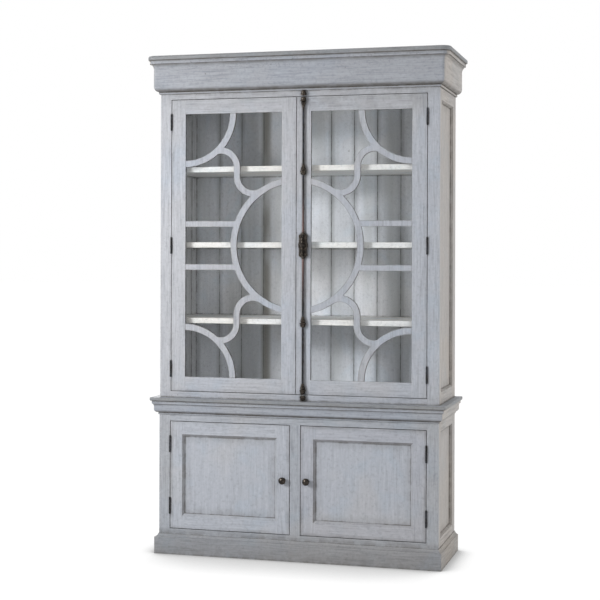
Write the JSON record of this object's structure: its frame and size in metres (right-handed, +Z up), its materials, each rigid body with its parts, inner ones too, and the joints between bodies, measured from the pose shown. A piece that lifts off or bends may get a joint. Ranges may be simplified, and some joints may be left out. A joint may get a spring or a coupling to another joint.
{
  "type": "display cabinet",
  "caption": "Tall two-part display cabinet: glazed fretwork doors with a turning bolt over a panelled cupboard, with shelves behind both.",
  "frame": {"origin": "on the floor, under the middle of the cabinet's overall box", "axes": "+X to the right seen from the front, +Y to the back, +Z up; the doors face -Y"},
  "size_m": [1.48, 0.514, 2.4],
  "materials": {
    "front_paint": "matte pale blue-grey paint, brushed, over a dark glaze",
    "side_paint": "matte warm grey paint, brushed, over a dark glaze",
    "shelf_paint": "satin off-white paint",
    "inside_paint": "matte blue-grey paint",
    "clear_glass": "clear sheet glass",
    "aged_bronze": "dark aged bronze, rubbed brown on the high spots",
    "hinge_metal": "dark aged brass",
    "support_metal": "plain zinc-plated steel",
    "bare_wood": "unpainted hardwood",
    "catch_case": "pale moulded case"
  },
  "bodies": {
    "case": {"base_back": "inside_paint", "base_face_frame": "front_paint", "base_floor": "inside_paint", "base_shelf": "shelf_paint", "base_side_frame_left": "front_paint", "base_side_frame_right": "side_paint", "base_side_panel_left": "front_paint", "base_side_panel_right": "side_paint", "case_back_boards": "inside_paint", "case_dowels": "bare_wood", "case_face_frame": "front_paint", "case_floor": "inside_paint", "case_roof": "inside_paint", "case_side_frame_left": "front_paint", "case_side_frame_right": "side_paint", "case_side_panel_left": "front_paint", "case_side_panel_right": "side_paint", "cornice_cap": "front_paint", "cornice_front": "front_paint", "cornice_left": "front_paint", "cornice_right": "side_paint", "cremone_keepers": "aged_bronze", "hinge_leaves_fixed": "hinge_metal", "hinge_pins": "hinge_metal", "magnetic_catches": "catch_case", "plinth_front": "front_paint", "plinth_left": "front_paint", "plinth_right": "side_paint", "shelf_lower": "shelf_paint", "shelf_middle": "shelf_paint", "shelf_supports": "support_metal", "shelf_upper": "shelf_paint", "waist_moulding_front": "front_paint", "waist_moulding_left": "front_paint", "waist_moulding_right": "side_paint", "waist_top": "front_paint"},
    "glass_door_left": {"glass_door_left_beads": "front_paint", "glass_door_left_frame": "front_paint", "glass_door_left_fretwork": "front_paint", "glass_door_left_glass": "clear_glass", "hinge_leaves_glass_door_left": "hinge_metal"},
    "glass_door_right": {"cremone_guides": "aged_bronze", "cremone_lock": "aged_bronze", "glass_door_right_beads": "front_paint", "glass_door_right_frame": "front_paint", "glass_door_right_fretwork": "front_paint", "glass_door_right_glass": "clear_glass", "hinge_leaves_glass_door_right": "hinge_metal"},
    "panel_door_left": {"hinge_leaves_panel_door_left": "hinge_metal", "panel_door_left_frame": "front_paint", "panel_door_left_knob": "aged_bronze", "panel_door_left_panel": "front_paint"},
    "panel_door_right": {"hinge_leaves_panel_door_right": "hinge_metal", "panel_door_right_frame": "front_paint", "panel_door_right_knob": "aged_bronze", "panel_door_right_panel": "front_paint"},
    "bolt_handle": {"cremone_handle": "aged_bronze", "cremone_pinion": "aged_bronze"},
    "bolt_rod_upper": {"cremone_rod_upper": "aged_bronze"},
    "bolt_rod_lower": {"cremone_rod_lower": "aged_bronze"}
  },
  "joints": [
    {"name": "glass_door_left_hinge", "type": "hinge", "parent": "case", "child": "glass_door_left", "pos_m": [-0.6265, -0.2031, 1.48725], "axis": [0, 0, -1], "range_deg": [0, 110]},
    {"name": "glass_door_right_hinge", "type": "hinge", "parent": "case", "child": "glass_door_right", "pos_m": [0.6265, -0.2031, 1.48725], "axis": [0, 0, 1], "range_deg": [0, 110]},
    {"name": "panel_door_left_hinge", "type": "hinge", "parent": "case", "child": "panel_door_left", "pos_m": [-0.6265, -0.2111, 0.381], "axis": [0, 0, -1], "range_deg": [0, 110]},
    {"name": "panel_door_right_hinge", "type": "hinge", "parent": "case", "child": "panel_door_right", "pos_m": [0.6265, -0.2111, 0.381], "axis": [0, 0, 1], "range_deg": [0, 110]},
    {"name": "bolt_handle_turn", "type": "hinge", "parent": "glass_door_right", "child": "bolt_handle", "pos_m": [0.0365, -0.208, 1.48725], "axis": [0, 1, 0], "range_deg": [0, 90]},
    {"name": "bolt_rod_upper_slide", "type": "slide", "parent": "glass_door_right", "child": "bolt_rod_upper", "axis": [0, 0, 1], "range_m": [0, 0.018]},
    {"name": "bolt_rod_lower_slide", "type": "slide", "parent": "glass_door_right", "child": "bolt_rod_lower", "axis": [0, 0, -1], "range_m": [0, 0.018]}
  ],
  "couplings": [
    {"joint": "bolt_rod_upper_slide", "follows": "bolt_handle_turn", "m_per_rad": 0.011459},
    {"joint": "bolt_rod_lower_slide", "follows": "bolt_handle_turn", "m_per_rad": 0.011459}
  ]
}
